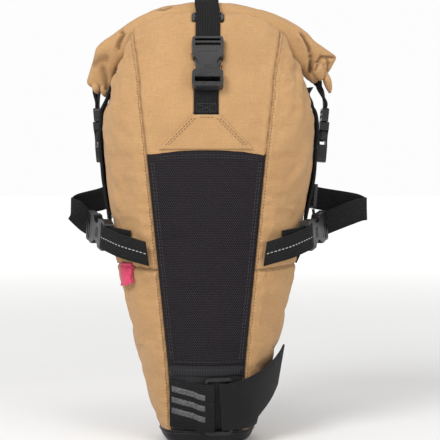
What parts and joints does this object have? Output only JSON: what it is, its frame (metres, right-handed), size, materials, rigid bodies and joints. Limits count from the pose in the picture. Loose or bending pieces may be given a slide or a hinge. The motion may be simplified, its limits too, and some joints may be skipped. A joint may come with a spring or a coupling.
{
  "type": "roll-top saddle bag",
  "caption": "Tapering roll-top bag that hangs under a bicycle saddle from the rails and the seatpost, closed by side-release buckles.",
  "frame": {"origin": "middle of the flat base at the narrow seatpost end", "axes": "+Z along the bag from the seatpost end to the rolled mouth, -Y out of the face that lies under the saddle, +X to the right when looking at that face"},
  "size_m": [0.325, 0.1687, 0.4661],
  "materials": {
    "tan_canvas": "matt woven canvas",
    "black_ballistic": "matt ballistic weave",
    "grip_mesh": "open knurled mesh",
    "coated_base": "coated, slight sheen",
    "webbing": "woven nylon webbing",
    "buckle_plastic": "moulded, satin",
    "stiffener_sheet": "smooth sheet",
    "pink_tape": "woven tape"
  },
  "bodies": {
    "bag": {"back_lower_panel": "coated_base", "back_upper_panel": "tan_canvas", "base_boot": "coated_base", "base_stiffener": "stiffener_sheet", "centre_buckle_socket": "buckle_plastic", "centre_strap_lower": "webbing", "centre_strap_upper": "webbing", "frame_sheet": "stiffener_sheet", "front_upper_panel": "tan_canvas", "left_closure_buckle_plug": "buckle_plastic", "left_closure_tab": "webbing", "left_gusset_lower": "tan_canvas", "left_gusset_upper": "tan_canvas", "left_lock_anchor": "webbing", "left_rail_anchor": "webbing", "left_rail_buckle_socket": "buckle_plastic", "right_closure_buckle_plug": "buckle_plastic", "right_closure_tab": "webbing", "right_gusset_lower": "tan_canvas", "right_gusset_upper": "tan_canvas", "right_lock_anchor": "webbing", "right_rail_anchor": "webbing", "right_rail_buckle_socket": "buckle_plastic", "roll_stiffener": "stiffener_sheet", "roll_top_closure": "tan_canvas", "saddle_face_panel": "black_ballistic", "seatpost_grip_patch": "grip_mesh", "seatpost_grip_strap": "webbing", "seatpost_loop_strap": "webbing", "seatpost_pad": "grip_mesh", "seatpost_ring": "buckle_plastic", "strap_patch": "tan_canvas"},
    "centre_plug": {"centre_buckle_plug": "buckle_plastic"},
    "centre_prong_left": {"centre_buckle_prong_left": "buckle_plastic"},
    "centre_prong_right": {"centre_buckle_prong_right": "buckle_plastic"},
    "centre_triglide": {"centre_triglide": "buckle_plastic"},
    "left_closure_socket": {"left_closure_buckle_socket": "buckle_plastic", "left_side_strap": "webbing"},
    "left_closure_prong_left": {"left_closure_buckle_prong_left": "buckle_plastic"},
    "left_closure_prong_right": {"left_closure_buckle_prong_right": "buckle_plastic"},
    "left_ladder_lock": {"left_ladder_lock": "buckle_plastic"},
    "left_rail_plug": {"left_rail_buckle_plug": "buckle_plastic", "left_rail_loop": "webbing"},
    "left_rail_prong_left": {"left_rail_buckle_prong_left": "buckle_plastic"},
    "left_rail_prong_right": {"left_rail_buckle_prong_right": "buckle_plastic"},
    "left_rail_tail": {"left_rail_tail": "webbing"},
    "right_closure_socket": {"right_closure_buckle_socket": "buckle_plastic", "right_side_strap": "webbing"},
    "right_closure_prong_left": {"right_closure_buckle_prong_left": "buckle_plastic"},
    "right_closure_prong_right": {"right_closure_buckle_prong_right": "buckle_plastic"},
    "right_ladder_lock": {"right_ladder_lock": "buckle_plastic"},
    "right_rail_plug": {"right_rail_buckle_plug": "buckle_plastic", "right_rail_loop": "webbing"},
    "right_rail_prong_left": {"right_rail_buckle_prong_left": "buckle_plastic"},
    "right_rail_prong_right": {"right_rail_buckle_prong_right": "buckle_plastic"},
    "right_rail_tail": {"right_rail_tail": "webbing"},
    "seatpost_hook_tab": {"seatpost_hook_tab": "webbing"},
    "side_tag": {"side_tag": "pink_tape"}
  },
  "joints": [
    {"name": "centre_release", "type": "slide", "parent": "bag", "child": "centre_plug", "axis": [0, 0.4067, 0.9135], "range_m": [0, 0.0215]},
    {"name": "centre_squeeze_left", "type": "hinge", "parent": "centre_plug", "child": "centre_prong_left", "pos_m": [-0.008, -0.0575, 0.408], "axis": [0, -0.9135, 0.4067], "range_deg": [0, 5]},
    {"name": "centre_squeeze_right", "type": "hinge", "parent": "centre_plug", "child": "centre_prong_right", "pos_m": [0.011, -0.0575, 0.408], "axis": [0, 0.9135, -0.4067], "range_deg": [0, 5]},
    {"name": "centre_triglide_slide", "type": "slide", "parent": "bag", "child": "centre_triglide", "axis": [0, -0.4067, -0.9135], "range_m": [0, 0.003]},
    {"name": "left_closure_release", "type": "slide", "parent": "bag", "child": "left_closure_socket", "axis": [0.0872, 0, -0.9962], "range_m": [0, 0.0215]},
    {"name": "left_closure_squeeze_left", "type": "hinge", "parent": "bag", "child": "left_closure_prong_left", "pos_m": [-0.1175, 0.0315, 0.338], "axis": [-0.9962, 0, -0.0872], "range_deg": [0, 5]},
    {"name": "left_closure_squeeze_right", "type": "hinge", "parent": "bag", "child": "left_closure_prong_right", "pos_m": [-0.1175, 0.0125, 0.338], "axis": [0.9962, 0, 0.0872], "range_deg": [0, 5]},
    {"name": "left_ladder_lock_tilt", "type": "hinge", "parent": "bag", "child": "left_ladder_lock", "pos_m": [-0.10562, 0.022, 0.23665], "axis": [0, -1, 0], "range_deg": [0, 35]},
    {"name": "left_rail_release", "type": "slide", "parent": "bag", "child": "left_rail_plug", "axis": [-0.4155, 0.8861, 0.2053], "range_m": [0, 0.0215]},
    {"name": "left_rail_squeeze_left", "type": "hinge", "parent": "left_rail_plug", "child": "left_rail_prong_left", "pos_m": [-0.12183, 0.00577, 0.2152], "axis": [-0.9054, -0.4246, 0], "range_deg": [0, 5]},
    {"name": "left_rail_squeeze_right", "type": "hinge", "parent": "left_rail_plug", "child": "left_rail_prong_right", "pos_m": [-0.12017, 0.00224, 0.2338], "axis": [0.9054, 0.4246, 0], "range_deg": [0, 5]},
    {"name": "left_rail_tail_lift", "type": "hinge", "parent": "bag", "child": "left_rail_tail", "pos_m": [-0.11038, -0.03372, 0.21639], "axis": [-0.0871, 0.1858, -0.9787], "range_deg": [0, 50]},
    {"name": "right_closure_release", "type": "slide", "parent": "bag", "child": "right_closure_socket", "axis": [-0.0872, 0, -0.9962], "range_m": [0, 0.0215]},
    {"name": "right_closure_squeeze_left", "type": "hinge", "parent": "bag", "child": "right_closure_prong_left", "pos_m": [0.1265, 0.0125, 0.338], "axis": [0.9962, 0, -0.0872], "range_deg": [0, 5]},
    {"name": "right_closure_squeeze_right", "type": "hinge", "parent": "bag", "child": "right_closure_prong_right", "pos_m": [0.1265, 0.0315, 0.338], "axis": [-0.9962, 0, 0.0872], "range_deg": [0, 5]},
    {"name": "right_ladder_lock_tilt", "type": "hinge", "parent": "bag", "child": "right_ladder_lock", "pos_m": [0.11558, 0.022, 0.24761], "axis": [0, 1, 0], "range_deg": [0, 35]},
    {"name": "right_rail_release", "type": "slide", "parent": "bag", "child": "right_rail_plug", "axis": [0.4155, 0.8861, 0.2053], "range_m": [0, 0.0215]},
    {"name": "right_rail_squeeze_left", "type": "hinge", "parent": "right_rail_plug", "child": "right_rail_prong_left", "pos_m": [0.12017, 0.00224, 0.2338], "axis": [0.9054, -0.4246, 0], "range_deg": [0, 5]},
    {"name": "right_rail_squeeze_right", "type": "hinge", "parent": "right_rail_plug", "child": "right_rail_prong_right", "pos_m": [0.12183, 0.00577, 0.2152], "axis": [-0.9054, 0.4246, 0], "range_deg": [0, 5]},
    {"name": "right_rail_tail_lift", "type": "hinge", "parent": "bag", "child": "right_rail_tail", "pos_m": [0.11038, -0.03372, 0.21639], "axis": [-0.0871, -0.1858, 0.9787], "range_deg": [0, 50]},
    {"name": "hook_tab_peel", "type": "hinge", "parent": "bag", "child": "seatpost_hook_tab", "pos_m": [0.015, -0.05903, 0.041], "axis": [0, 0.1304, -0.9915], "range_deg": [0, 70]},
    {"name": "side_tag_flap", "type": "hinge", "parent": "bag", "child": "side_tag", "pos_m": [-0.09062, -0.02191, 0.19], "axis": [-0.3967, 0.918, 0], "range_deg": [0, 60]}
  ]
}
